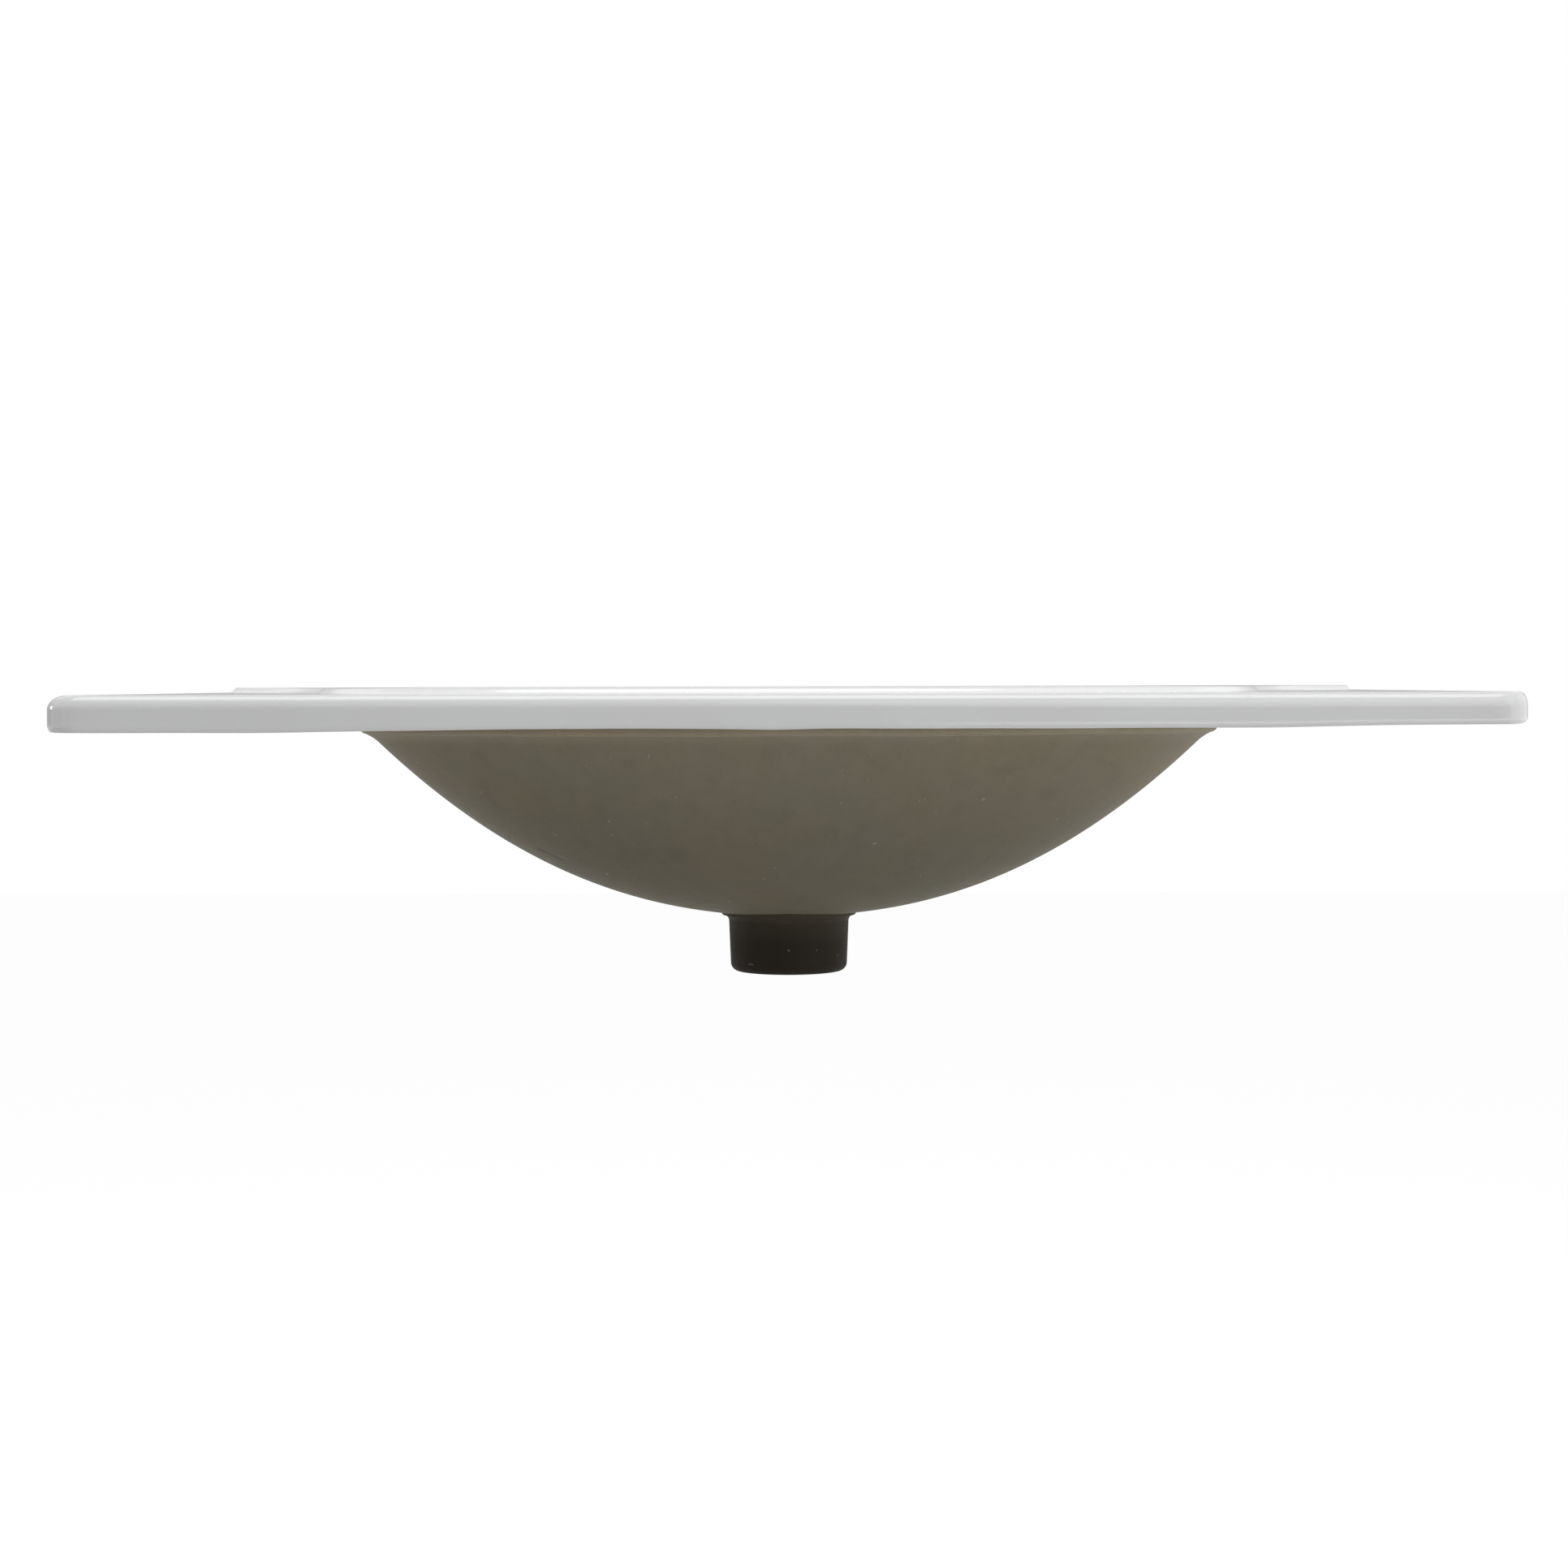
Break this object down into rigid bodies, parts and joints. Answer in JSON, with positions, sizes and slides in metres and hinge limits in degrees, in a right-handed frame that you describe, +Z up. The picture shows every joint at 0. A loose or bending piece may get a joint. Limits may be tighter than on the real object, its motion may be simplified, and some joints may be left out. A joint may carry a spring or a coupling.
{
  "type": "vanity top with sink",
  "caption": "Drop-on vanity top with an oval basin, a low raised surround with a tap ledge, an outlet boss and a rear overflow.",
  "frame": {"origin": "on the waste bore's axis, at the seat for the waste flange in the bowl's floor", "axes": "+Z up along the waste bore, +X to the right end of the deck, front edge towards -Y"},
  "size_m": [0.787, 0.483, 0.1707],
  "materials": {
    "white_glaze": "gloss",
    "olive_body": "matte",
    "brown_body": "matte",
    "chromed_trim": "polished"
  },
  "bodies": {
    "root": {"deck": "white_glaze", "surround": "white_glaze", "bowl": "olive_body", "bowl_collar": "olive_body", "drain_boss": "brown_body", "overflow_duct": "olive_body", "overflow_ring": "chromed_trim", "left_rib": "olive_body", "right_rib": "olive_body"}
  },
  "joints": []
}
